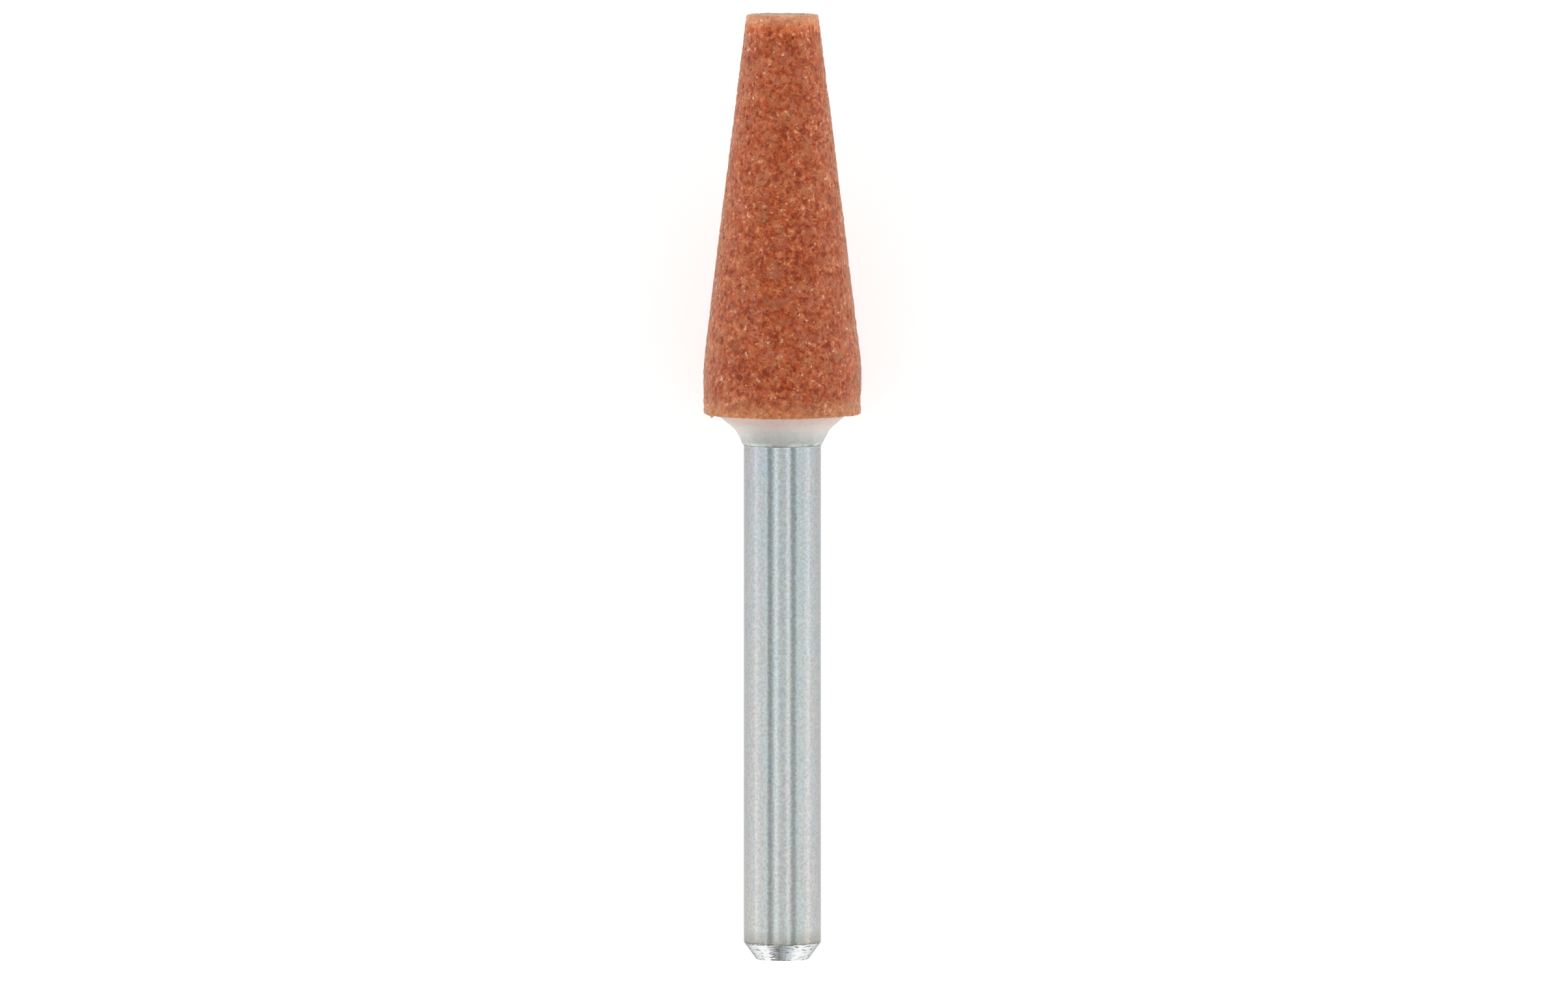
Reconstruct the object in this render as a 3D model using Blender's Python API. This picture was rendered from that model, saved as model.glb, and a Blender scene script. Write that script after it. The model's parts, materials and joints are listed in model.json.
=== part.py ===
"""Tapered mounted grinding point, lying on a bench the way it comes to rest.

The tool has three pieces. A turned steel shank ends in a knurled spigot that runs up inside
the stone. The stone is one moulded and fired taper with a blind bore. Cement fills the bore
round the spigot, grips the knurl, and flares out between the stone and the shank's shoulder.

Every piece is drawn about the tool's own axis, with heights measured from the shank's end
face up to the stone's tip. The finished tool is then laid down on its two widest rims.
"""

import math

import bmesh
import bpy
from mathutils import Vector

MM = 0.001

# Steel shank
SHANK_DIAMETER = 3.175 * MM
SHANK_LENGTH = 21.17 * MM
END_CHAMFER_WIDTH = 0.5 * MM
END_CHAMFER_LENGTH = 0.69 * MM

# Spigot, turned down from the shank at its shoulder
SPIGOT_DIAMETER = 2.2 * MM
SPIGOT_CHAMFER = 0.3 * MM
NECK_LENGTH = 1.6 * MM
KNURL_DEPTH = 0.12 * MM
KNURL_LEAD = 0.12 * MM

# Abrasive stone
STONE_LENGTH = 16.44 * MM
HEEL_DIAMETER = 6.52 * MM
HEEL_LENGTH = 2.1 * MM
TIP_DIAMETER = 2.99 * MM
HEEL_ROUND = 0.12 * MM
KNEE_ROUND = 5.0 * MM
TIP_ROUND = 0.12 * MM
SOLID_TIP_LENGTH = 6.0 * MM

# Cement
CEMENT_FILM = 0.2 * MM
CEMENT_PAD = 0.3 * MM
FLARE_HEIGHT = 1.22 * MM
FLARE_HOLLOW = 0.1 * MM
FLARE_LIP = 0.03 * MM
HEEL_LEDGE = 0.67 * MM

# Clearance between bonded faces
JOINT_GAP = 0.02 * MM

# Facets, and the largest share of an edge that one rounding may take
SEGMENTS = 48
CORNER_STEPS = 4
FLARE_STEPS = 8
ROUND_REACH = 0.45
SHARP_ANGLE = math.radians(30)
WELD = 0.0001 * MM

# Sizes that follow from the ones above
shank_radius = SHANK_DIAMETER / 2
spigot_radius = SPIGOT_DIAMETER / 2
heel_radius = HEEL_DIAMETER / 2
bore_radius = spigot_radius + CEMENT_FILM
stone_base = SHANK_LENGTH + FLARE_HEIGHT
stone_top = stone_base + STONE_LENGTH
bore_top = stone_top - SOLID_TIP_LENGTH
spigot_top = bore_top - CEMENT_PAD
neck_top = SHANK_LENGTH + NECK_LENGTH

# The middle of a flat is this share of the way out to a corner. The tool lies on the flat
# that is turned to +Y, so the columns of corners start half a flat past it.
flat_share = math.cos(math.pi / SEGMENTS)
first_column = math.pi / 2 + math.pi / SEGMENTS


def clear_scene():
    for thing in list(bpy.data.objects):
        bpy.data.objects.remove(thing, do_unlink=True)


def finish(name, colour, roughness, metallic):
    material = bpy.data.materials.new(name)
    material.use_nodes = True
    shader = material.node_tree.nodes["Principled BSDF"]
    shader.inputs["Base Color"].default_value = (*colour, 1.0)
    shader.inputs["Roughness"].default_value = roughness
    shader.inputs["Metallic"].default_value = metallic
    return material


def rounded(corners):
    """Outline points from (height, radius, rounding) corners, each rounding a tangent arc."""
    points = [Vector(corners[0][:2])]
    for before, corner, after in zip(corners, corners[1:], corners[2:]):
        here = Vector(corner[:2])
        back = Vector(before[:2]) - here
        ahead = Vector(after[:2]) - here
        half_angle = back.angle(ahead) / 2
        longest_tangent = ROUND_REACH * min(back.length, ahead.length)
        tangent = min(corner[2] / math.tan(half_angle), longest_tangent)
        if tangent == 0.0:
            points.append(here)
            continue
        radius = tangent * math.tan(half_angle)
        start = here + back.normalized() * tangent
        middle = (back.normalized() + ahead.normalized()).normalized()
        centre = here + middle * (radius / math.sin(half_angle))
        arm = start - centre
        sweep = arm.angle_signed(here + ahead.normalized() * tangent - centre)
        for step in range(CORNER_STEPS + 1):
            turn = -sweep * step / CORNER_STEPS
            cosine, sine = math.cos(turn), math.sin(turn)
            swung = Vector((arm.x * cosine - arm.y * sine, arm.x * sine + arm.y * cosine))
            points.append(centre + swung)
    points.append(Vector(corners[-1][:2]))
    return points


def hollow_arc(start, end, hollow):
    """Points from start to end on an arc that dips towards the axis by the given depth."""
    chord = end - start
    radius = ((chord.length / 2) ** 2 + hollow**2) / (2 * hollow)
    inwards = Vector((chord.y, -chord.x)).normalized()
    if inwards.y > 0:
        inwards = -inwards
    centre = (start + end) / 2 - inwards * (radius - hollow)
    half_sweep = math.asin(chord.length / 2 / radius)
    points = []
    for step in range(FLARE_STEPS + 1):
        angle = half_sweep * (2 * step / FLARE_STEPS - 1)
        across = chord.normalized() * math.sin(angle) * radius
        points.append(centre + across + inwards * math.cos(angle) * radius)
    return points


def shank_outline():
    """From the end face, past the chamfer and the shoulder, to the spigot's tip."""
    root_radius = spigot_radius - KNURL_DEPTH
    return rounded(
        [
            (0.0, shank_radius - END_CHAMFER_WIDTH, 0.0),
            (END_CHAMFER_LENGTH, shank_radius, 0.0),
            (SHANK_LENGTH, shank_radius, 0.0),
            (SHANK_LENGTH, root_radius, 0.0),
            (neck_top, root_radius, 0.0),
            (neck_top + KNURL_LEAD, spigot_radius, 0.0),
            (spigot_top - SPIGOT_CHAMFER, spigot_radius, 0.0),
            (spigot_top, spigot_radius - SPIGOT_CHAMFER, 0.0),
        ]
    )


def stone_outline():
    """From the top of the blind bore, down its wall, round the heel and up to the tip."""
    return rounded(
        [
            (bore_top, bore_radius, 0.0),
            (stone_base, bore_radius, 0.0),
            (stone_base, heel_radius, HEEL_ROUND),
            (stone_base + HEEL_LENGTH, heel_radius, KNEE_ROUND),
            (stone_top, TIP_DIAMETER / 2, TIP_ROUND),
            (stone_top, 0.0, 0.0),
        ]
    )


def cement_outline():
    """Down the wall round the spigot, out over the shoulder, along the flare, and up the bore."""
    neck_radius = spigot_radius - KNURL_DEPTH + JOINT_GAP
    crest_radius = spigot_radius + JOINT_GAP
    inner_top = spigot_top + JOINT_GAP
    shoulder = SHANK_LENGTH + JOINT_GAP
    underside = stone_base - JOINT_GAP
    sleeve_radius = bore_radius - JOINT_GAP
    lower_rim = Vector((shoulder, shank_radius + FLARE_LIP))
    upper_rim = Vector((underside, heel_radius - HEEL_LEDGE))
    return [
        Vector((inner_top, crest_radius - SPIGOT_CHAMFER)),
        Vector((inner_top - SPIGOT_CHAMFER, crest_radius)),
        Vector((neck_top + KNURL_LEAD, crest_radius)),
        Vector((neck_top, neck_radius)),
        Vector((shoulder, neck_radius)),
        *hollow_arc(lower_rim, upper_rim, FLARE_HOLLOW),
        Vector((underside, sleeve_radius)),
        Vector((bore_top - JOINT_GAP, sleeve_radius)),
    ]


def turn(outline):
    """Spins an outline once round the tool's axis and closes each end that stops short of it."""
    mesh = bmesh.new()
    across = Vector((math.cos(first_column), math.sin(first_column), 0.0))
    up = Vector((0.0, 0.0, 1.0))
    points = [mesh.verts.new(across * radius + up * height) for height, radius in outline]
    edges = [mesh.edges.new(pair) for pair in zip(points, points[1:])]
    bmesh.ops.spin(
        mesh, geom=points + edges, axis=up, cent=(0.0, 0.0, 0.0),
        angle=math.tau, steps=SEGMENTS, use_merge=True,
    )
    bmesh.ops.remove_doubles(mesh, verts=mesh.verts, dist=WELD)
    rims = [edge for edge in mesh.edges if edge.is_boundary]
    bmesh.ops.holes_fill(mesh, edges=rims, sides=SEGMENTS)
    bmesh.ops.recalc_face_normals(mesh, faces=mesh.faces)
    return mesh


def press_knurl(mesh, largest_radius):
    """Presses in every second column of points from the neck to the spigot's tip.

    The faces that this twists are split along their shorter diagonal, so that the cement's
    wall folds where the steel does.
    """
    lowest = neck_top + KNURL_LEAD / 2
    highest = spigot_top - SPIGOT_CHAMFER + 2 * JOINT_GAP
    twisted = set()
    for point in mesh.verts:
        outwards = Vector((point.co.x, point.co.y, 0.0))
        past_first = math.atan2(point.co.y, point.co.x) - first_column
        column = round(past_first * SEGMENTS / math.tau)
        knurled = lowest < point.co.z < highest and outwards.length < largest_radius
        if knurled and column % 2:
            point.co -= outwards.normalized() * KNURL_DEPTH
            twisted.update(point.link_faces)
    bmesh.ops.triangulate(mesh, faces=list(twisted), quad_method="SHORT_EDGE")


def add_piece(name, mesh, material, carrier):
    data = bpy.data.meshes.new(name)
    mesh.to_mesh(data)
    mesh.free()
    data.materials.append(material)
    data.shade_smooth()
    data.set_sharp_from_angle(angle=SHARP_ANGLE)
    piece = bpy.data.objects.new(name, data)
    bpy.context.collection.objects.link(piece)
    piece.parent = carrier
    return piece


def lay_down():
    """An empty on the tool's axis at the shank's end, tipped so that both rims touch the bench.

    The bench line starts at the shank's rim and just clears the lowest point of the heel. The
    rims are polygons with a flat turned down, so each is measured at the middle of a flat.
    """
    rim_height = END_CHAMFER_LENGTH
    rim_radius = shank_radius * flat_share
    outlines = shank_outline() + stone_outline()
    silhouette = [(height, radius * flat_share) for height, radius in outlines]
    tilt = max(
        math.atan2(radius - rim_radius, height - rim_height)
        for height, radius in silhouette
        if height > SHANK_LENGTH
    )
    cosine, sine = math.cos(tilt), math.sin(tilt)
    lift = rim_radius * cosine - rim_height * sine
    rear = min(height * cosine - radius * sine for height, radius in silhouette)
    front = max(height * cosine + radius * sine for height, radius in silhouette)
    carrier = bpy.data.objects.new("tool_axis", None)
    bpy.context.collection.objects.link(carrier)
    carrier.rotation_euler.x = tilt - math.pi / 2
    carrier.location = (0.0, -(rear + front) / 2, lift)
    return carrier


def build_tool():
    clear_scene()
    steel = finish("zinc_plated_steel", (0.55, 0.58, 0.59), 0.35, 1.0)
    abrasive = finish("fired_aluminium_oxide", (0.40, 0.12, 0.055), 0.85, 0.0)
    white_cement = finish("white_cement", (0.62, 0.56, 0.52), 0.45, 0.0)
    carrier = lay_down()

    shank = turn(shank_outline())
    press_knurl(shank, shank_radius)
    add_piece("shank", shank, steel, carrier)

    add_piece("abrasive_stone", turn(stone_outline()), abrasive, carrier)

    cement = turn(cement_outline())
    press_knurl(cement, bore_radius - 2 * JOINT_GAP)
    add_piece("cement", cement, white_cement, carrier)


build_tool()
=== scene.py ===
"""Looks of a tapered mounted grinding point: plated steel shank, fired stone, white cement.

Every piece is turned about the tool's own axis. A ring of a turned piece is its height up that
axis, measured from the shank's end face, and its radius, and both come from the CAD solids.
"""

import json
import math

import bpy
import numpy as np
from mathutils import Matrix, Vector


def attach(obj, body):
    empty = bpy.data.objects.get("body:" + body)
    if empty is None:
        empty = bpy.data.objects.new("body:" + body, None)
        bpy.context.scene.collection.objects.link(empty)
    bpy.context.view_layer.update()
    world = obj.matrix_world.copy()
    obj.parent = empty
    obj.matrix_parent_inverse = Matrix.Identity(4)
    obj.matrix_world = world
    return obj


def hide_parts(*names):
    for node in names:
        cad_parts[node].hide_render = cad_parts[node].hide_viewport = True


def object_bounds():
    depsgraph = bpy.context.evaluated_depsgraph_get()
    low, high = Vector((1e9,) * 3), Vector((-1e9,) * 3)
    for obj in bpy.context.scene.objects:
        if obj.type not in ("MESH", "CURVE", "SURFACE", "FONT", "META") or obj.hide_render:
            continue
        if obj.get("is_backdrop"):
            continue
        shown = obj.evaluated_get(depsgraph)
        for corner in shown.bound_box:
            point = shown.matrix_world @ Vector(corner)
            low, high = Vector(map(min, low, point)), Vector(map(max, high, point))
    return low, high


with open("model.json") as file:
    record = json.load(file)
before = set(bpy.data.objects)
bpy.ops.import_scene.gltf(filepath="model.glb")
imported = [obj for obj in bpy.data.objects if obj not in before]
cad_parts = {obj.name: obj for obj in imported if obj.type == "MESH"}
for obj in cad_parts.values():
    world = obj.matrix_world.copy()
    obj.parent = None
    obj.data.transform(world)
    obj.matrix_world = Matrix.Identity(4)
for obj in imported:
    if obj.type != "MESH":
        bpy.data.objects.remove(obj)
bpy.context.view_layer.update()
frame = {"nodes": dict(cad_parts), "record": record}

# Shank
# Steel rod ground to 3.175 mm, turned down to a knurled spigot that the stone hides, and zinc
# plated. The chamfer on its end was turned after plating, so it is bare and bright.
MM = 0.001
CAD_SIDES = 48
CAD_SLACK = 0.002 * MM
CLEAR_OF = 0.01 * MM
SHANK_COLUMNS = 240
SHANK_PITCH = 0.09 * MM
SHOULDER_BREAK = 0.03 * MM
KNURL_TEETH = 24
TURNED_RINGS = 8
TURNED_RING_DEPTH = 0.0018 * MM
TURNED_DRIFT = 0.3 * MM
TURNED_WANDER = 6.0
NODULE_SPACING = 0.8 * MM
NODULE_WIDTH = 0.06 * MM
DEEPEST_DENT = -0.012 * MM
TALLEST_NODULE = 0.0072 * MM
RIM_CLEARANCE = 0.05 * MM
SHANK_SHARP_ANGLE = math.radians(30)
# Shapes drawn from the random lattice are each shifted to a part of it of their own.
SHANK_PATCH = 20 * MM

mount = frame["record"]["mounts"][0]
end_face = np.array(mount["pos_m"])
along = -np.array(mount["axis"])
rightward = np.array([1.0, 0.0, 0.0])
upward = np.cross(rightward, along)
tip_up = math.asin(along[2])


def profile_of(node):
    """Height and radius of every corner of a CAD node, about the tool's axis.

    The solids have flat sides and rest on one, so a radius is taken to the middle of a flat.
    """
    mesh = frame["nodes"][node].data
    corners = np.empty(len(mesh.vertices) * 3, np.float32)
    mesh.vertices.foreach_get("co", corners)
    arms = corners.reshape(-1, 3) - end_face
    heights = arms @ along
    radii = np.linalg.norm(arms - np.outer(heights, along), axis=1)
    return heights, radii * math.cos(math.pi / CAD_SIDES)


def close_to(values, target):
    """Which values are the target, but for the rounding of the CAD file."""
    return np.abs(values - target) < CAD_SLACK


def run(start, stop, count):
    """Evenly spaced (height, radius) rings from start up to, and without, stop."""
    share = np.arange(count)[:, None] / count
    return np.array(start) * (1 - share) + np.array(stop) * share


def swept(rings, columns):
    """Points (ring, column, 3) of a turned surface, as right, up and along the tool's axis.

    Column j stands at the angle 2 pi j / columns, counted from the right over the top.
    """
    angles = np.arange(columns) * math.tau / columns
    heights, radii = rings[:, :1], rings[:, 1:]
    parts = np.broadcast_arrays(radii * np.cos(angles), radii * np.sin(angles), heights)
    return np.stack(parts, axis=-1)


def lifted(points, rings, lift):
    """Moves each point off its turned surface by lift, along the normal of the rings' outline."""
    slope = np.gradient(rings, axis=0)
    slope /= np.maximum(np.linalg.norm(slope, axis=1, keepdims=True), 1e-9)
    spokes = points[..., :2] / np.maximum(rings[:, 1], 1e-9)[:, None, None]
    normals = np.empty_like(points)
    normals[..., :2] = spokes * slope[:, 0][:, None, None]
    normals[..., 2] = -slope[:, 1][:, None]
    return points + lift[..., None] * normals


def turned_piece(name, points):
    """A closed round piece from swept points, each ring joined to the next.

    The first and last rings are closed with a point on the axis.
    """
    rings, columns = points.shape[:2]
    poles = [(0.0, 0.0, points[0, :, 2].mean()), (0.0, 0.0, points[-1, :, 2].mean())]
    local = np.concatenate([points.reshape(-1, 3), poles])
    vertices = end_face + local @ np.stack([rightward, upward, along])
    here = np.arange(rings * columns).reshape(rings, columns)
    beside = np.roll(here, -1, axis=1)
    quads = np.stack([here[:-1], here[1:], beside[1:], beside[:-1]], axis=-1).reshape(-1, 4)
    first = np.full(columns, rings * columns)
    first_cap = np.stack([first, here[0], beside[0]], axis=-1)
    last_cap = np.stack([first + 1, beside[-1], here[-1]], axis=-1)
    mesh = bpy.data.meshes.new(name)
    mesh.from_pydata(vertices.tolist(), [], quads.tolist() + first_cap.tolist() + last_cap.tolist())
    mesh.shade_smooth()
    piece = bpy.data.objects.new(name, mesh)
    bpy.context.scene.collection.objects.link(piece)
    return piece


# Six random numbers for each cube of a block of space, the same at each run.
lattice = np.random.default_rng(7).random((48, 48, 96, 6))


def drawn_at(cells):
    """The six random numbers of each cube of space, repeating every 48 or 96 cubes."""
    return lattice[tuple(np.moveaxis(cells % lattice.shape[:3], -1, 0))]


def grains(points, size):
    """Which grain each point of an array (..., 3) lies in, by the nearest of scattered centres.

    Space is cut into cubes of the given size with one centre at random in each. Returned are the
    distance to the nearest centre, the arm from it, and three random numbers of that grain.
    """
    cells = np.floor(points / size).astype(int)
    nearest = np.full(points.shape[:-1], np.inf)
    arms = np.zeros(points.shape)
    traits = np.zeros(points.shape)
    for step in np.ndindex(3, 3, 3):
        cell = cells + np.array(step) - 1
        drawn = drawn_at(cell)
        arm = points - (cell + drawn[..., :3]) * size
        distance = np.linalg.norm(arm, axis=-1)
        closer = (distance < nearest)[..., None]
        nearest = np.minimum(distance, nearest)
        arms = np.where(closer, arm, arms)
        traits = np.where(closer, drawn[..., 3:], traits)
    return nearest, arms, traits


def smooth_step(values):
    """Rises from 0 to 1 as values do, level at both ends."""
    held = np.clip(values, 0.0, 1.0)
    return held * held * (3 - 2 * held)


def swell(points, size):
    """Smooth random heights from 0 to 1, blended from random numbers on a lattice of that pitch."""
    cells = np.floor(points / size).astype(int)
    share = smooth_step(points / size - cells)
    total = np.zeros(points.shape[:-1])
    for corner in np.ndindex(2, 2, 2):
        weight = np.prod(np.where(corner, share, 1 - share), axis=-1)
        total += drawn_at(cells + corner)[..., 0] * weight
    return total


def colour(code):
    """Linear RGBA from an sRGB hex code."""
    shares = np.array([int(code[i : i + 2], 16) for i in (1, 3, 5)]) / 255
    linear = np.where(shares <= 0.04045, shares / 12.92, ((shares + 0.055) / 1.055) ** 2.4)
    return (*linear.tolist(), 1.0)


def add(tree, kind, settings, links):
    """Adds one node to a tree and returns its outputs.

    Settings are the node's properties, and a colour ramp's stops are (place, colour) pairs.
    Links are values or other nodes' outputs, by the name or number of the input they go to.
    """
    node = tree.nodes.new("ShaderNode" + kind)
    for key, value in settings.items():
        if key == "stops":
            marks = node.color_ramp.elements
            marks.remove(marks[1])
            marks[0].position, marks[0].color = value[0]
            for place, tint in value[1:]:
                marks.new(place).color = tint
        else:
            setattr(node, key, value)
    for key, value in links.items():
        if isinstance(value, bpy.types.NodeSocket):
            tree.links.new(value, node.inputs[key])
        else:
            node.inputs[key].default_value = value
    return node.outputs


def new_material(name):
    """A node material with its tree, its shader, and a place in the tool's own frame.

    That place is Object coordinates turned and moved so that Y is the height up the tool's axis.
    """
    material = bpy.data.materials.new(name)
    material.use_nodes = True
    tree = material.node_tree
    at = add(tree, "TexCoord", {}, {})["Object"]
    origin = (0.0, -float(end_face @ along), -float(end_face @ upward))
    turn = {"Vector": at, "Location": origin, "Rotation": (-tip_up, 0.0, 0.0)}
    place = add(tree, "Mapping", {}, turn)["Vector"]
    return material, tree, tree.nodes["Principled BSDF"], place


shank_heights, shank_radii = profile_of("shank")
shank_radius = shank_radii.max()
full_width = close_to(shank_radii, shank_radius)
chamfer_top = float(shank_heights[full_width].min())
shoulder = float(shank_heights[full_width].max())
end_radius = shank_radii[close_to(shank_heights, 0.0)].max()
inside = shank_heights > shoulder + CLEAR_OF
spigot_radius = shank_radii[inside].max()
knurled = inside & close_to(shank_radii, spigot_radius)
knurl_start, knurl_stop = shank_heights[knurled].min(), shank_heights[knurled].max()
spigot_top = shank_heights.max()
nose_radius = shank_radii[inside & close_to(shank_heights, spigot_top)].max()
neck_radius = shank_radii[inside & (shank_heights < knurl_start - CLEAR_OF)].min()


def knurl_grooves(rings, columns, largest_radius):
    """Depth of the grooves between the knurl's straight teeth.

    It is a cosine wave round the axis, on the rings of the knurl that are under largest_radius.
    The band reaches a little past the knurl, to take in the cement's ring above it.
    """
    angles = np.arange(columns) * math.tau / columns
    wave = 0.5 - 0.5 * np.cos(angles * KNURL_TEETH)
    heights, radii = rings[:, :1], rings[:, 1:]
    band = (heights > knurl_start - CLEAR_OF) & (heights < knurl_stop + 5 * CLEAR_OF)
    return band * (radii < largest_radius) * wave * (spigot_radius - neck_radius)


rod_rings = int((shoulder - chamfer_top) / SHANK_PITCH)
rings = np.concatenate(
    [
        run((0.0, 0.0), (0.0, end_radius), 4)[1:],
        run((0.0, end_radius), (chamfer_top, shank_radius), 8 * TURNED_RINGS),
        run((chamfer_top, shank_radius), (shoulder - SHOULDER_BREAK, shank_radius), rod_rings),
        run((shoulder - SHOULDER_BREAK, shank_radius), (shoulder, shank_radius - SHOULDER_BREAK), 3),
        run((shoulder, shank_radius - SHOULDER_BREAK), (shoulder, neck_radius), 3),
        run((shoulder, neck_radius), (knurl_start, neck_radius), 4),
        run((knurl_start, spigot_radius), (knurl_stop, spigot_radius), 8),
        run((knurl_stop, spigot_radius), (spigot_top, nose_radius), 3),
        run((spigot_top, nose_radius), (spigot_top, 0.0), 2),
    ]
)
points = swept(rings, SHANK_COLUMNS)
heights = rings[:, :1]
climb = heights / chamfer_top
turned = (climb > 0) & (climb < 1)
plated = (heights > chamfer_top + RIM_CLEARANCE) & (heights < shoulder - RIM_CLEARANCE)
far, _, traits = grains(points + SHANK_PATCH, NODULE_SPACING)
lift = DEEPEST_DENT + (TALLEST_NODULE - DEEPEST_DENT) * traits[..., 0]
lift = plated * lift * np.exp(-((far / NODULE_WIDTH) ** 2))
drift = swell(points + SHANK_PATCH, TURNED_DRIFT)
waves = np.sin(climb * TURNED_RINGS * math.tau + TURNED_WANDER * drift)
lift = lift - turned * TURNED_RING_DEPTH * (0.5 - 0.5 * waves) * (0.5 + drift)
lift = lift - knurl_grooves(rings, SHANK_COLUMNS, (spigot_radius + shank_radius) / 2)
shank = turned_piece("shank_plated", lifted(points, rings, lift))
shank.data.set_sharp_from_angle(angle=SHANK_SHARP_ANGLE)


def zinc_plated_steel():
    """Zinc electroplate with a clear passivation, over ground steel.

    The eye sees a satin grey metal whose tint drifts in short streaks between blue, green, straw
    and lilac, a fine speckle from the zinc's crystals, and a few dull pits. It is glossier by the
    stone, where painted shade also makes it a little darker and bluer. A painted highlight runs
    along the shoulder's edge, and it is warmer, stained and gritty where the chamfer was cut. Real
    zinc crystals are too fine to show, so the speckle is coarser.
    """
    streak_width, streak_length = 0.24 * MM, 1.5 * MM
    speckle_size, cloud_size = 0.11 * MM, 0.4 * MM
    pit_spacing, pit_radius = 0.6 * MM, 0.035 * MM
    stain_length, edge_width = 0.6 * MM, 0.08 * MM
    crystal_height, pit_depth = 0.003 * MM, 0.005 * MM
    material, tree, shader, place = new_material("zinc_plated_steel")
    height = add(tree, "SeparateXYZ", {}, {"Vector": place})["Y"]
    squash = {0: place, 1: (1.0, streak_width / streak_length, 1.0)}
    drawn = add(tree, "VectorMath", {"operation": "MULTIPLY"}, squash)["Vector"]
    streaks = add(tree, "TexNoise", {}, {"Vector": drawn, "Scale": 1 / streak_width, "Detail": 1.5})
    speckle = add(tree, "TexNoise", {}, {"Vector": place, "Scale": 1 / speckle_size, "Detail": 1.5})
    cloud = add(tree, "TexNoise", {}, {"Vector": place, "Scale": 1 / cloud_size, "Detail": 4.0})
    pits = add(tree, "TexVoronoi", {}, {"Vector": place, "Scale": 1 / pit_spacing})

    tint_stops = [
        (0.3, colour("#c0c5ca")),
        (0.41, colour("#c4c8c8")),
        (0.5, colour("#c6c7c7")),
        (0.59, colour("#c8c8c4")),
        (0.7, colour("#c7c5cb")),
    ]
    tints = add(tree, "ValToRGB", {"stops": tint_stops}, {"Fac": streaks["Fac"]})["Color"]
    rise = add(tree, "MapRange", {}, {"Value": height, "From Max": shoulder})["Result"]
    # Painted shade: the plated tint turns a little darker and bluer towards the stone.
    painted_shade_stops = [
        (0.0, colour("#fffffb")),
        (0.25, colour("#fffefe")),
        (0.6, colour("#fafcfc")),
        (1.0, colour("#f3f6fa")),
    ]
    fade = add(tree, "ValToRGB", {"stops": painted_shade_stops}, {"Fac": rise})["Color"]
    shaded_tints = add(tree, "VectorMath", {"operation": "MULTIPLY"}, {0: tints, 1: fade})["Vector"]
    dots = {"Value": speckle["Fac"], "From Min": 0.3, "From Max": 0.7, "To Min": 0.86, "To Max": 1.14}
    dots = add(tree, "MapRange", {}, dots)["Result"]
    surface = add(tree, "VectorMath", {"operation": "SCALE"}, {0: shaded_tints, "Scale": dots})["Vector"]

    edge = pit_radius / pit_spacing
    hole = {"Value": pits["Distance"], "From Min": edge / 2, "From Max": edge}
    hole.update({"To Min": 0.5, "To Max": 0.0})
    hole = add(tree, "MapRange", {"interpolation_type": "SMOOTHSTEP"}, hole)["Result"]
    crumbs = add(tree, "MapRange", {}, {"Value": speckle["Fac"], "From Min": 0.52, "From Max": 0.6})
    stain = {"Value": height, "From Min": chamfer_top + stain_length, "From Max": chamfer_top}
    rust = {"Value": height, "From Min": chamfer_top + edge_width, "From Max": chamfer_top}
    # The last band is a painted highlight, a lighter colour along the shoulder's edge.
    painted_highlight_band = {"Value": height, "From Min": shoulder - edge_width, "From Max": shoulder}
    layers = [(hole, "#5f6668")]
    # Each band comes in patches: a dull stain, crumbs of grime, rust at the cut, and a painted highlight
    # along the shoulder's edge.
    for band, patches, code in (
        (stain, cloud["Fac"], "#a49f92"),
        ({**stain, "To Max": 0.6}, crumbs["Result"], "#8a8172"),
        ({**rust, "To Max": 1.2}, streaks["Fac"], "#6f5c4d"),
        ({**painted_highlight_band, "To Max": 1.2}, cloud["Fac"], "#eef3f2"),
    ):
        depth = add(tree, "MapRange", {}, band)["Result"]
        patchy = {0: depth, 1: patches}
        layers.append((add(tree, "Math", {"operation": "MULTIPLY", "use_clamp": True}, patchy)[0], code))
    for factor, code in layers:
        mixed = {0: factor, 6: surface, 7: colour(code)}
        surface = add(tree, "Mix", {"data_type": "RGBA"}, mixed)[2]
    tree.links.new(surface, shader.inputs["Base Color"])

    shader.inputs["Metallic"].default_value = 1.0
    shader.inputs["Specular Tint"].default_value = (0.9, 0.9, 0.9, 1.0)
    gloss = add(tree, "MapRange", {}, {"Value": rise, "To Min": 0.18, "To Max": 0.12})["Result"]
    tree.links.new(gloss, shader.inputs["Roughness"])
    peel = {"Height": speckle["Fac"], "Strength": 1.0, "Distance": crystal_height}
    peel = add(tree, "Bump", {}, peel)["Normal"]
    dents = {"Height": hole, "Strength": 1.0, "Distance": -pit_depth, "Normal": peel}
    tree.links.new(add(tree, "Bump", {}, dents)["Normal"], shader.inputs["Normal"])
    return material


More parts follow.
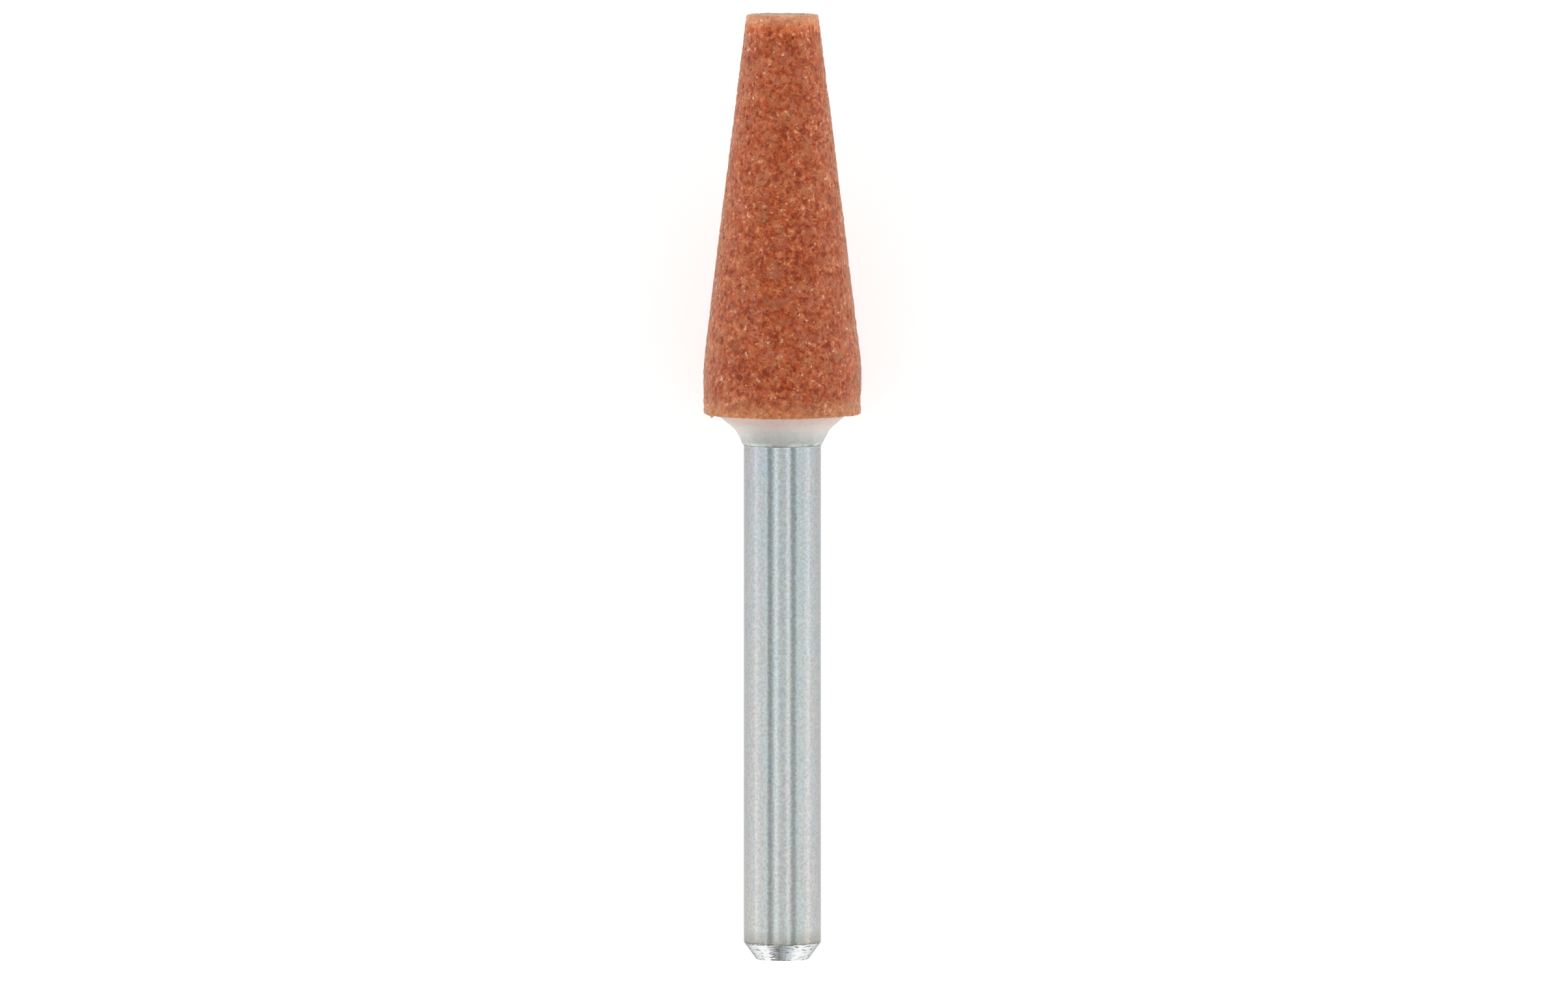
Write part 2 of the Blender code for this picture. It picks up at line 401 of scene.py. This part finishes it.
def bare_turned_steel():
    """Bright bare steel, mirror-like between the turning tool's rings.

    The eye sees short dull dashes torn along the rings. By the two rims it is darker still, partly
    from torn burrs and partly from a painted dark edge. A ring is known by its height plus its
    radius, which grows over the end face and on up the chamfer.
    """
    dash_length, dash_width, burr_and_shade_width = 0.24 * MM, 0.12 * MM, 0.09 * MM
    material, tree, shader, place = new_material("bare_turned_steel")
    height = add(tree, "SeparateXYZ", {}, {"Vector": place})["Y"]
    spoke = add(tree, "VectorMath", {"operation": "MULTIPLY"}, {0: place, 1: (1.0, 0.0, 1.0)})["Vector"]
    radius = add(tree, "VectorMath", {"operation": "LENGTH"}, {0: spoke})["Value"]
    ring = add(tree, "Math", {"operation": "ADD"}, {0: height, 1: radius})[0]
    across = add(tree, "CombineXYZ", {}, {"Y": ring})[0]
    way = add(tree, "VectorMath", {"operation": "NORMALIZE"}, {0: spoke})["Vector"]
    way = add(tree, "VectorMath", {"operation": "SCALE"}, {0: way, "Scale": float(shank_radius)})["Vector"]
    stretch = {0: across, 1: (0.0, dash_length / dash_width, 0.0), 2: way}
    turned = add(tree, "VectorMath", {"operation": "MULTIPLY_ADD"}, stretch)["Vector"]
    wear = add(tree, "TexNoise", {}, {"Vector": turned, "Scale": 1 / dash_length, "Detail": 3.0})["Fac"]
    chamfer_ring = chamfer_top + shank_radius
    # Darker by both rims: partly torn burrs, partly painted shade that outlines the rims.
    for rim, reach in ((end_radius, burr_and_shade_width), (chamfer_ring, 2 * burr_and_shade_width)):
        off_rim = add(tree, "Math", {"operation": "SUBTRACT"}, {0: ring, 1: float(rim)})[0]
        off_rim = add(tree, "Math", {"operation": "ABSOLUTE"}, {0: off_rim})[0]
        burr_and_rim_shade = {"Value": off_rim, "From Min": reach, "From Max": 0.0, "To Max": 0.1}
        burr_and_rim_shade = add(tree, "MapRange", {}, burr_and_rim_shade)["Result"]
        wear = add(tree, "Math", {"operation": "SUBTRACT"}, {0: wear, 1: burr_and_rim_shade})[0]
    tint_stops = [(0.33, colour("#8f9496")), (0.44, colour("#fafbfb"))]
    tints = add(tree, "ValToRGB", {"stops": tint_stops}, {"Fac": wear})["Color"]
    tree.links.new(tints, shader.inputs["Base Color"])
    shader.inputs["Metallic"].default_value = 1.0
    shader.inputs["Specular Tint"].default_value = (0.5, 0.5, 0.52, 1.0)
    shader.inputs["Roughness"].default_value = 0.1
    return material


shank.data.materials.append(zinc_plated_steel())
shank.data.materials.append(bare_turned_steel())
middles = np.empty(len(shank.data.polygons) * 3, np.float32)
shank.data.polygons.foreach_get("center", middles)
bare = (middles.reshape(-1, 3) - end_face) @ along < chamfer_top
shank.data.polygons.foreach_set("material_index", bare.astype(np.int32))
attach(shank, "root")
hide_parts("shank")

# Stone
# Aluminium oxide grit, pressed in a mould round a blind bore with a clay bond, and fired hard. The
# mould leaves the grains almost flush, with pores between, and the clay's iron colours them.
STONE_COLUMNS = 312
STONE_PITCH = 0.07 * MM
GRAIN_SIZE = 0.2 * MM
GRAIN_STEP = 0.03 * MM
GRAIN_LEAN = 0.16
PORE_SPACING = 0.36 * MM
PORE_RADIUS = 0.07 * MM
PORE_DEPTH = 0.04 * MM
PORE_FLOOR = 0.3
SWELL_SIZE = 1.4 * MM
SWELL_HEIGHT = 0.03 * MM
SPUR_ANGLE = math.radians(155.6)
SPUR_WIDTH = 0.11 * MM
SPUR_HEIGHT = 0.15 * MM
DENT_ANGLE = 0.0
DENT_RISE = 0.62 * MM
DENT_WIDTH = 0.3 * MM
DENT_DEPTH = 0.06 * MM
TIP_MIDDLE = 0.02 * MM
STONE_PATCH = 20 * MM
PORE_PATCH = 23 * MM

stone_heights, stone_radii = profile_of("abrasive_stone")
stone_base, stone_top = float(stone_heights.min()), float(stone_heights.max())
bore_radius = stone_radii[close_to(stone_heights, stone_base)].min()
bore_top = stone_heights[close_to(stone_radii, bore_radius)].max()
heel_radius = stone_radii.max()


def spaced(line, pitch):
    """Rings at an even pitch along a line of (height, radius) corners."""
    travelled = np.concatenate([[0.0], np.cumsum(np.linalg.norm(np.diff(line, axis=0), axis=1))])
    stops = np.linspace(0.0, travelled[-1], int(travelled[-1] / pitch) + 1)
    return np.stack([np.interp(stops, travelled, line[:, k]) for k in (0, 1)], axis=1)


def paint(piece, label, values):
    """Stores one number per vertex for a material to read. The two points on the axis get 0.5."""
    attribute = piece.data.attributes.new(label, "FLOAT", "POINT")
    attribute.data.foreach_set("value", np.append(values, [0.5, 0.5]).astype(np.float32))


def hump(points, angle, height, width):
    """A bell from 0 to 1 round one spot of the heel, at an angle and a height."""
    spot = (heel_radius * math.cos(angle), heel_radius * math.sin(angle), height)
    return np.exp(-((np.linalg.norm(points - spot, axis=-1) / width) ** 2))


outside = np.unique(np.round(stone_heights[stone_radii > bore_radius + CLEAR_OF], 8))
corners = [(h, stone_radii[close_to(stone_heights, h)].max()) for h in outside]
skin = spaced(np.array([*corners, (stone_top, TIP_MIDDLE)]), STONE_PITCH)
hidden_rings = np.concatenate(
    [
        run((bore_top, 0.0), (bore_top, bore_radius), 2)[1:],
        run((bore_top, bore_radius), (stone_base, bore_radius), 4),
    ]
)
underside = spaced(np.array([(stone_base, bore_radius), corners[0]]), STONE_PITCH)[:-1]
rings = np.concatenate([hidden_rings, underside, skin])
points = swept(rings, STONE_COLUMNS)
inner = points + STONE_PATCH

# Each grain's face stands at a depth and a lean of its own. A pore is a ragged, round bottomed
# pit of half to one and a half times PORE_RADIUS.
_, arms, traits = grains(inner, GRAIN_SIZE)
void, _, chance = grains(points + PORE_PATCH, PORE_SPACING)
ragged = void + PORE_RADIUS * (swell(inner, PORE_RADIUS) - 0.5)
pore = 1 - smooth_step(ragged / PORE_RADIUS / (0.5 + chance[..., 0]) - PORE_FLOOR)
drop = GRAIN_STEP * traits[..., 0] + (arms * (traits * 2 - 1)).sum(axis=-1) * GRAIN_LEAN
drop = np.clip(drop + PORE_DEPTH * pore, 0.0, None) + SWELL_HEIGHT * swell(inner, SWELL_SIZE)
drop += DENT_DEPTH * hump(points, DENT_ANGLE, stone_base + DENT_RISE, DENT_WIDTH)
drop[: len(hidden_rings)] = 0.0
grown = lifted(points, rings, -drop)
grown[..., 2] -= SPUR_HEIGHT * hump(points, SPUR_ANGLE, stone_base, SPUR_WIDTH)
stone = turned_piece("stone_grain", grown)
paint(stone, "grain", traits[..., 2])
paint(stone, "pore", pore)


def fired_aluminium_oxide():
    """Aluminium oxide grit in a clay glass, fired.

    The eye sees half clear orange, tan and pink grains that blend at their edges, crossed by
    short pale threads where grains meet and by dark red pores darkened with painted shade. A few
    clean facets are glossier and carry painted glints. The rims are painted paler and more tan,
    as if light came through them, with a painted highlight band by the tip that darkens again at
    its very edge, and the tip is a touch brighter.
    """
    grain_width, crystal_width, crystal_depth = 0.19 * MM, 0.085 * MM, 0.015 * MM
    warp_size, warp_reach = 0.22 * MM, 0.14 * MM
    cloud_size, thread_size = 0.55 * MM, 0.17 * MM
    tip_glow, tip_highlight, tip_edge, heel_glow = 1.2 * MM, 0.65 * MM, 0.1 * MM, 1.15 * MM
    cell_core, cell_rim, rim_share = 0.1, 0.65, 0.2
    glint_start, glint_full = 1.72, 1.9
    material, tree, shader, place = new_material("fired_aluminium_oxide")
    height = add(tree, "SeparateXYZ", {}, {"Vector": place})["Y"]
    grain = add(tree, "Attribute", {"attribute_name": "grain"}, {})["Fac"]
    hollow = add(tree, "Attribute", {"attribute_name": "pore"}, {})["Fac"]
    ripple = add(tree, "TexNoise", {}, {"Vector": place, "Scale": 1 / warp_size, "Detail": 2.0})
    pull = {0: ripple["Color"], "Scale": warp_reach}
    pull = add(tree, "VectorMath", {"operation": "SCALE"}, pull)["Vector"]
    bent = add(tree, "VectorMath", {"operation": "ADD"}, {0: place, 1: pull})["Vector"]
    mosaic = add(tree, "TexVoronoi", {}, {"Vector": bent, "Scale": 1 / grain_width})
    crystals = add(tree, "TexVoronoi", {}, {"Vector": bent, "Scale": 1 / crystal_width})
    clouds = add(tree, "TexNoise", {}, {"Vector": place, "Scale": 1 / cloud_size, "Detail": 3.0})
    threads = add(tree, "TexNoise", {}, {"Vector": bent, "Scale": 1 / thread_size, "Detail": 2.0})
    pick = add(tree, "SeparateColor", {}, {"Color": mosaic["Color"]})
    facet = add(tree, "SeparateColor", {}, {"Color": crystals["Color"]})
    hue = add(tree, "SeparateColor", {}, {"Color": clouds["Color"]})

    weights = [(grain, 0.26), (hue["Blue"], 0.9), (ripple["Fac"], 1.3)]
    for cells, shade, weight in ((mosaic, pick["Red"], 0.55), (crystals, facet["Red"], 0.62)):
        fade = {"Value": cells["Distance"], "From Min": cell_core, "From Max": cell_rim}
        fade.update({"To Min": 1.0, "To Max": rim_share})
        fade = add(tree, "MapRange", {}, fade)["Result"]
        centred = add(tree, "Math", {"operation": "SUBTRACT"}, {0: shade, 1: 0.5})[0]
        soft = add(tree, "Math", {"operation": "MULTIPLY"}, {0: fade, 1: centred})[0]
        weights.append((soft, weight))
    # The tone starts low, so that the sum of the shades comes out round the middle stop.
    tone = -0.84
    for source, weight in weights:
        tone = add(tree, "Math", {"operation": "MULTIPLY_ADD"}, {0: source, 1: weight, 2: tone})[0]
    # Where sparkle is high, a facet is glossier and also gets a painted glint.
    sparkle = facet["Green"]
    for source, weight in ((hue["Blue"], 0.5), (threads["Fac"], 1.0)):
        sparkle = {0: source, 1: weight, 2: sparkle}
        sparkle = add(tree, "Math", {"operation": "MULTIPLY_ADD"}, sparkle)[0]
    tone_stops = [
        (0.1, colour("#902c04")),
        (0.3, colour("#b14b16")),
        (0.5, colour("#c15f2e")),
        (0.7, colour("#cf7648")),
        (0.95, colour("#ee9a6c")),
    ]
    surface = add(tree, "ValToRGB", {"stops": tone_stops}, {"Fac": tone})["Color"]

    # What is read, where the layer starts and is full, its strength, blend and colour.
    ranges = [
        (hue["Red"], 0.5, 0.68, 0.6, "MIX", "#ba7549"),
        (hue["Green"], 0.52, 0.7, 0.6, "MIX", "#be6b54"),
        (pick["Blue"], 0.55, 1.0, 0.45, "MIX", "#d3501e"),
        (threads["Fac"], 0.43, 0.3, 0.85, "MIX", "#992b02"),
        # Painted shade: the pores are darkened, in a dark red.
        (hollow, 0.0, 1.0, 0.5, "MIX", "#962902"),
        # Painted glints: a pale colour on the clean facets.
        (sparkle, glint_start, glint_full, 0.75, "MIX", "#ffcfae"),
        (height, stone_base, stone_top, 1.0, "ADD", "#321508"),
        # Painted light at the ends: the tip and heel bands are paler and more tan, as if light came
        # through the rims, with a painted highlight band by the tip that is darker again at its very edge.
        (height, stone_top - tip_glow, stone_top, 1.0, "DODGE", "#a6b59a"),
        (height, stone_top - tip_highlight, stone_top, 0.43, "MIX", "#e4c3a6"),
        (height, stone_top - tip_edge, stone_top, 0.55, "MIX", "#99615c"),
        (height, stone_base + heel_glow, stone_base, 1.0, "DODGE", "#688c80"),
        (height, stone_base + heel_glow, stone_base, 0.23, "MIX", "#d9b688"),
    ]
    for source, start, stop, strength, blend, code in ranges:
        reach = {"Value": source, "From Min": start, "From Max": stop, "To Max": strength}
        reach = add(tree, "MapRange", {"interpolation_type": "SMOOTHSTEP"}, reach)["Result"]
        mixed = {0: reach, 6: surface, 7: colour(code)}
        surface = add(tree, "Mix", {"data_type": "RGBA", "blend_type": blend}, mixed)[2]
    thread_stops = [
        (0.465, colour("#000000")),
        (0.52, colour("#ffffff")),
        (0.575, colour("#000000")),
    ]
    strands = add(tree, "ValToRGB", {"stops": thread_stops}, {"Fac": threads["Fac"]})["Color"]
    broken = {"Value": pick["Green"], "From Min": 0.35, "From Max": 1.0, "To Max": 0.52}
    broken = add(tree, "MapRange", {}, broken)["Result"]
    strand = add(tree, "Math", {"operation": "MULTIPLY"}, {0: strands, 1: broken})[0]
    mixed = {0: strand, 6: surface, 7: colour("#fbac7e")}
    surface = add(tree, "Mix", {"data_type": "RGBA"}, mixed)[2]
    tree.links.new(surface, shader.inputs["Base Color"])

    clean = {"Value": sparkle, "From Min": glint_start, "From Max": glint_full}
    clean.update({"To Min": 0.5, "To Max": 0.25})
    tree.links.new(add(tree, "MapRange", {}, clean)["Result"], shader.inputs["Roughness"])
    shader.inputs["Specular IOR Level"].default_value = 0.25
    shader.inputs["Subsurface Weight"].default_value = 0.3
    shader.inputs["Subsurface Radius"].default_value = (1.0, 0.4, 0.2)
    shader.inputs["Subsurface Scale"].default_value = 0.15 * MM
    shader.inputs["Sheen Weight"].default_value = 0.57
    shader.inputs["Sheen Roughness"].default_value = 0.48
    shader.inputs["Sheen Tint"].default_value = colour("#f4f3da")
    bump = {"Height": crystals["Distance"], "Strength": 0.8, "Distance": crystal_depth}
    tree.links.new(add(tree, "Bump", {}, bump)["Normal"], shader.inputs["Normal"])
    return material


stone.data.materials.append(fired_aluminium_oxide())
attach(stone, "root")
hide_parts("abrasive_stone")

# Cement
# White cement that fills the bore round the knurled spigot. What was squeezed out when the shank
# was pushed home set as a hollow flare between the stone's base and the shank's shoulder.
CEMENT_COLUMNS = 240
FLARE_RINGS = 30
# How far the flare has spread, from the shoulder's edge to its rim, by the share of its height
FLARE_SPREAD = [(0, 0.02), (0.15, 0.1), (0.54, 0.36), (0.75, 0.65), (1, 1)]
SAG_SIZE = 1.3 * MM
SAG_HEIGHT = 0.09 * MM
SAG_SHOWS = 1.6
SAG_PATCH = 68 * MM
LUMP_SIZE = 0.2 * MM
LUMP_HEIGHT = 0.045 * MM
LUMP_PATCH = 30 * MM
# How far the flare's rim reaches up among the stone's grains, so that no gap opens between them
FLARE_BITE = 0.1 * MM
CEMENT_SHARP_ANGLE = math.radians(40)

cement_heights, cement_radii = profile_of("cement")
flare_top = cement_heights[cement_radii > bore_radius].max()
flare_radius = cement_radii.max()
clearance = stone_base - flare_top
foot = shoulder + clearance
foot_radius = cement_radii[cement_heights < foot + CLEAR_OF].max()
wall = spigot_radius + clearance
sleeve = bore_radius - clearance
neck_wall = neck_radius + clearance

share = np.linspace(0.0, 1.0, FLARE_RINGS)
flare_radii = foot_radius + (flare_radius - foot_radius) * np.interp(share, *np.transpose(FLARE_SPREAD))
flare_rings = np.stack([foot + (flare_top - foot) * share, flare_radii], axis=1)
rings = np.concatenate(
    [
        run((spigot_top + clearance, 0.0), (spigot_top + clearance, nose_radius), 2)[1:],
        run((spigot_top + clearance, nose_radius + clearance), (knurl_stop + clearance, wall), 3),
        run((knurl_stop + clearance, wall), (knurl_start, wall), 8),
        run((knurl_start - clearance, neck_wall), (foot, neck_wall), 4),
        run((foot, neck_wall), (shoulder, foot_radius), 4),
        run((shoulder, foot_radius), (foot, foot_radius), 1),
        flare_rings,
        run((stone_base + FLARE_BITE, flare_radius), (flare_top, sleeve), 4),
        run((flare_top, sleeve), (bore_top - clearance, sleeve), 6),
        run((bore_top - clearance, sleeve), (bore_top - clearance, 0.0), 2),
    ]
)
points = swept(rings, CEMENT_COLUMNS)
heights = rings[:, :1]
on_flare = (heights > foot) & (heights < flare_top) & (rings[:, 1:] > bore_radius)
sag = swell(points + SAG_PATCH, SAG_SIZE)
lumps = swell(points + LUMP_PATCH, LUMP_SIZE)
lift = on_flare * (SAG_HEIGHT * (sag - 0.5) + LUMP_HEIGHT * (lumps - 0.5))
lift = lift - knurl_grooves(rings, CEMENT_COLUMNS, wall + clearance / 2)
cement = turned_piece("cement_flare", lifted(points, rings, lift))
cement.data.set_sharp_from_angle(angle=CEMENT_SHARP_ANGLE)

# The sag changes the thickness most at the foot, and less and less up the flare.
up_flare = (heights - foot) / (flare_top - foot)
paint(cement, "thickness", 0.5 + (sag - 0.5) * (SAG_SHOWS - up_flare))


def set_white_cement():
    """White cement, set hard against the stone and the steel.

    The eye sees an off white, slightly see-through body, whiter where it is thick, with painted
    pink light bounced from the stone near the top and painted grey green shade lower down, a pale,
    gritty foot, and a broken dark hairline of painted shade in the gap where it meets the shoulder.
    """
    cloud_size, grit_size, grit_height = 0.5 * MM, 0.1 * MM, 0.012 * MM
    hairline_start, hairline_full = shoulder + 0.09 * MM, shoulder + 0.03 * MM
    material, tree, shader, place = new_material("set_white_cement")
    height = add(tree, "SeparateXYZ", {}, {"Vector": place})["Y"]
    climb = {"Value": height, "From Min": shoulder, "From Max": stone_base}
    climb = add(tree, "MapRange", {}, climb)["Result"]
    cloud = add(tree, "TexNoise", {}, {"Vector": place, "Scale": 1 / cloud_size, "Detail": 3.0})["Fac"]
    grit = add(tree, "TexNoise", {}, {"Vector": place, "Scale": 1 / grit_size, "Detail": 2.0})["Fac"]
    depth = add(tree, "Attribute", {"attribute_name": "thickness"}, {})["Fac"]
    drift = add(tree, "Math", {"operation": "MULTIPLY_ADD"}, {0: cloud, 1: 0.4, 2: climb})[0]
    # Painted light in the tint: a pink bounce from the stone near the top, and painted grey green shade
    # low on the flare.
    tint_stops = [
        (0.2, colour("#e4e7e2")),
        (0.32, colour("#c3c6c1")),
        (0.6, colour("#dcd9d3")),
        (0.85, colour("#e8dbd4")),
        (1.0, colour("#e9cfc4")),
    ]
    tints = add(tree, "ValToRGB", {"stops": tint_stops}, {"Fac": drift})["Color"]
    dots = {"Value": grit, "From Min": 0.3, "From Max": 0.7, "To Min": 0.93, "To Max": 1.04}
    dots = add(tree, "MapRange", {}, dots)["Result"]
    body = {"Value": depth, "From Min": 0.25, "From Max": 0.75, "To Min": 0.86, "To Max": 1.14}
    body = add(tree, "MapRange", {}, body)["Result"]
    dots = add(tree, "Math", {"operation": "MULTIPLY"}, {0: dots, 1: body})[0]
    gritty = add(tree, "VectorMath", {"operation": "SCALE"}, {0: tints, "Scale": dots})["Vector"]
    # Painted shade: a broken dark hairline in the gap between the cement's foot and the shoulder.
    gap_shade = {"Value": height, "From Min": hairline_start, "From Max": hairline_full}
    gap_shade = add(tree, "MapRange", {}, gap_shade)["Result"]
    broken = {"Value": cloud, "From Min": 0.42, "From Max": 0.6, "To Max": 0.55}
    broken = add(tree, "MapRange", {}, broken)["Result"]
    gap_shade = add(tree, "Math", {"operation": "MULTIPLY"}, {0: gap_shade, 1: broken})[0]
    mixed = {0: gap_shade, 6: gritty, 7: colour("#59605a")}
    surface = add(tree, "Mix", {"data_type": "RGBA"}, mixed)[2]
    tree.links.new(surface, shader.inputs["Base Color"])
    shader.inputs["Roughness"].default_value = 0.35
    shader.inputs["Subsurface Weight"].default_value = 0.3
    shader.inputs["Subsurface Radius"].default_value = (1.0, 0.8, 0.7)
    shader.inputs["Subsurface Scale"].default_value = 0.3 * MM
    shader.inputs["Sheen Weight"].default_value = 0.2
    shader.inputs["Sheen Roughness"].default_value = 0.4
    bump = {"Height": grit, "Strength": 0.6, "Distance": grit_height}
    tree.links.new(add(tree, "Bump", {}, bump)["Normal"], shader.inputs["Normal"])
    return material


cement.data.materials.append(set_white_cement())
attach(cement, "root")
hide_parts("cement")

# Studio
# A white table under a white tent, seen from straight above. The tent has a dark seam on either
# side of the opening overhead, which the round shank shows as two dark lines. Its near end is
# half open on a grey room, which the chamfer shows. Light falls on the piece mostly from the sides.
FRAME_WIDTH = 64.52 * MM
CAMERA_HEIGHT = 700 * MM
SENSOR_WIDTH = 36.0
AIM_X = 0.067 * MM
AIM_Y = -0.28 * MM
TABLE_WIDTH = 2000 * MM
TENT_LIGHT = 1.1
TABLE_GLOW_SEEN = 0.56
TABLE_GLOW_MIRRORED = 0.37
# The tent as metal mirrors it: degrees from overhead to the right, light, and its share of red
SEAMS = [
    (-90, 1.17, 1.0),
    (-78, 1.0, 1.0),
    (-66, 0.88, 0.98),
    (-60, 0.92, 0.93),
    (-47, 0.96, 0.93),
    (-43, 0.46, 0.93),
    (-34, 0.48, 0.94),
    (-25, 0.9, 0.93),
    (-20, 1.2, 0.93),
    (-14, 1.06, 0.94),
    (-9, 0.78, 0.955),
    (9, 0.78, 0.965),
    (14, 1.06, 0.965),
    (20, 1.15, 0.96),
    (28, 0.5, 0.97),
    (38, 0.5, 0.93),
    (45, 0.94, 0.9),
    (60, 0.93, 0.91),
    (66, 0.9, 0.97),
    (78, 1.05, 1.0),
    (90, 1.15, 1.0),
]
# The light that falls on the piece: degrees from overhead to either side, and light
SIDE_LIGHT = [(0, 0.36), (25, 0.36), (70, 1.52)]
# The room past the tent's near end: degrees to the right of straight ahead, and what it lets by
NEAR_END = [
    (-46, (1.0, 1.0, 1.0, 1.0)),
    (-36, (0.28, 0.27, 0.27, 1.0)),
    (4, (0.28, 0.27, 0.27, 1.0)),
    (12, (0.5, 0.53, 0.55, 1.0)),
    (34, (0.64, 0.69, 0.7, 1.0)),
    (48, (1.0, 1.0, 1.0, 1.0)),
]
# The opening's top edge, from full to none, in degrees above the table, and how much it slants
NEAR_END_TOP = (12, 18)
NEAR_END_SLANT = 0.8

bpy.ops.mesh.primitive_plane_add(size=TABLE_WIDTH)
table = bpy.context.object
table.name = "table"
table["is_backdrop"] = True
top = bpy.data.materials.new("white_table_top")
top.use_nodes = True
tree = top.node_tree
shader = tree.nodes["Principled BSDF"]
shader.inputs["Base Color"].default_value = (0.8, 0.8, 0.8, 1.0)
shader.inputs["Roughness"].default_value = 0.9
path = add(tree, "LightPath", {}, {})
seen = {0: path["Is Camera Ray"], 1: TABLE_GLOW_SEEN, 2: 0.0}
seen = add(tree, "Math", {"operation": "MULTIPLY_ADD"}, seen)[0]
glow = {0: path["Is Glossy Ray"], 1: TABLE_GLOW_MIRRORED, 2: seen}
glow = add(tree, "Math", {"operation": "MULTIPLY_ADD"}, glow)[0]
white = add(tree, "Emission", {}, {"Strength": glow})[0]
both = add(tree, "AddShader", {}, {0: shader.outputs[0], 1: white})[0]
tree.links.new(both, tree.nodes["Material Output"].inputs["Surface"])
table.data.materials.append(top)

world = bpy.data.worlds.new("light_tent")
bpy.context.scene.world = world
world.use_nodes = True
tree = world.node_tree
path = add(tree, "LightPath", {}, {})
ray = add(tree, "SeparateXYZ", {}, {"Vector": add(tree, "TexCoord", {}, {})["Generated"]})
lean = add(tree, "Math", {"operation": "ARCTAN2"}, {0: ray["X"], 1: ray["Z"]})[0]
share = add(tree, "MapRange", {}, {"Value": lean, "From Min": -math.pi, "From Max": math.pi})["Result"]
seam_stops = [(degrees / 360 + 0.5, (light * red, light, light, 1.0)) for degrees, light, red in SEAMS]
tent = add(tree, "ValToRGB", {"stops": seam_stops}, {"Fac": share})["Color"]
away = add(tree, "Math", {"operation": "ABSOLUTE"}, {0: lean})[0]
share = add(tree, "Math", {"operation": "DIVIDE"}, {0: away, 1: math.pi})[0]
side_stops = [(degrees / 180, (light, light, light, 1.0)) for degrees, light in SIDE_LIGHT]
sides = add(tree, "ValToRGB", {"stops": side_stops}, {"Fac": share})["Color"]

near = add(tree, "Math", {"operation": "MULTIPLY"}, {0: ray["Y"], 1: -1.0})[0]
swing = add(tree, "Math", {"operation": "ARCTAN2"}, {0: ray["X"], 1: near})[0]
slanted = {0: ray["Z"], 1: NEAR_END_SLANT, 2: swing}
swing = add(tree, "Math", {"operation": "MULTIPLY_ADD"}, slanted)[0]
swing = add(tree, "MapRange", {}, {"Value": swing, "From Min": -math.pi, "From Max": math.pi})["Result"]
end_stops = [(degrees / 360 + 0.5, light) for degrees, light in NEAR_END]
room = add(tree, "ValToRGB", {"stops": end_stops}, {"Fac": swing})["Color"]
edges = [math.sin(math.radians(degrees)) for degrees in NEAR_END_TOP]
low = {"Value": ray["Z"], "From Min": edges[0], "From Max": edges[1], "To Min": 1.0, "To Max": 0.0}
low = add(tree, "MapRange", {}, low)["Result"]
mirrored = add(tree, "Mix", {"data_type": "RGBA", "blend_type": "MULTIPLY"}, {0: low, 6: tent, 7: room})[2]

light = {0: path["Is Glossy Ray"], 6: sides, 7: mirrored}
light = add(tree, "Mix", {"data_type": "RGBA"}, light)[2]
sky = {0: path["Is Camera Ray"], 6: light, 7: (1.0, 1.0, 1.0, 1.0)}
sky = add(tree, "Mix", {"data_type": "RGBA"}, sky)[2]
tree.links.new(sky, tree.nodes["Background"].inputs["Color"])
tree.nodes["Background"].inputs["Strength"].default_value = TENT_LIGHT

camera = bpy.data.objects.new("camera", bpy.data.cameras.new("camera"))
bpy.context.scene.collection.objects.link(camera)
camera.location = (AIM_X, AIM_Y, CAMERA_HEIGHT)
camera.data.sensor_width = SENSOR_WIDTH
camera.data.lens = SENSOR_WIDTH * CAMERA_HEIGHT / FRAME_WIDTH
camera.data.clip_start = 0.05
camera.data.clip_end = 10.0
bpy.context.scene.camera = camera
bpy.context.scene.view_settings.view_transform = "Standard"

low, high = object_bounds()
